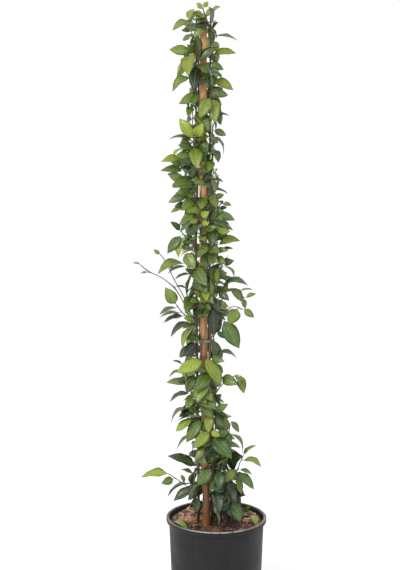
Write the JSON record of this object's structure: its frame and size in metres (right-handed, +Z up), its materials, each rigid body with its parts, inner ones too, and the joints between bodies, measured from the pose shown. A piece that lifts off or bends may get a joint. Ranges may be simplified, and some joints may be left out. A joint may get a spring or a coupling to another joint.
{
  "type": "potted arabian jasmine",
  "caption": "Young twining jasmine with glossy oval leaves, tied to a bamboo cane in a round black nursery pot with bark mulch.",
  "frame": {"origin": "centre of the pot's flat underside", "axes": "+Z up along the pot's axis, -Y towards the side that the picture shows"},
  "size_m": [0.266, 0.2, 1.2086],
  "materials": {
    "pot_plastic": "black satin injection-moulded plastic",
    "potting_soil": "damp peat-based potting soil, matt",
    "bark_chips": "bark chips and grit, matt",
    "bamboo": "weathered orange-tan bamboo, satin",
    "tie_plastic": "teal plastic tie",
    "stem_bark": "thin reddish-brown bark",
    "leaf": "glossy leathery leaves, lime green when new and dark green when old, on olive twigs",
    "fallen_leaf": "loose yellow-green leaf"
  },
  "bodies": {
    "root": {"pot": "pot_plastic", "root_ball": "potting_soil", "bark_mulch": "bark_chips", "bamboo_cane": "bamboo", "tie_1": "tie_plastic", "tie_2": "tie_plastic", "tie_3": "tie_plastic", "tie_4": "tie_plastic", "vine_left": "stem_bark", "vine_right": "stem_bark", "vine_back": "stem_bark", "vine_rear_left": "stem_bark", "fallen_leaf_left": "fallen_leaf", "fallen_leaf_right": "fallen_leaf", "crown_left": "leaf", "crown_right": "leaf", "upper_left": "leaf", "upper_right": "leaf", "neck_left": "leaf", "sprig_left": "leaf", "neck_right": "leaf", "shoulder_right": "leaf", "shoulder_left": "leaf", "mid_right": "leaf", "young_knot": "leaf", "mid_left": "leaf", "waist_right": "leaf", "waist_left": "leaf", "hip_right": "leaf", "trailing_twig": "leaf", "long_tendril": "leaf", "low_left": "leaf", "inner_left": "leaf", "low_mid": "leaf", "sprig_right": "leaf", "cluster_right": "leaf", "knee_right": "leaf", "bright_pair": "leaf", "knee_left": "leaf", "calf_right": "leaf", "shin_right": "leaf", "shin_far_right": "leaf", "shin_left": "leaf", "foot_right": "leaf", "ankle_right": "leaf", "foot_left": "leaf", "foot_left_low": "leaf", "rear_shoot_1": "leaf", "rear_shoot_2": "leaf", "rear_shoot_3": "leaf", "rear_shoot_4": "leaf", "rear_shoot_5": "leaf", "rear_shoot_6": "leaf", "rear_shoot_7": "leaf", "rear_shoot_8": "leaf", "rear_shoot_9": "leaf", "rear_shoot_10": "leaf", "rear_shoot_11": "leaf", "rear_shoot_12": "leaf", "seedling": "leaf"}
  },
  "joints": []
}
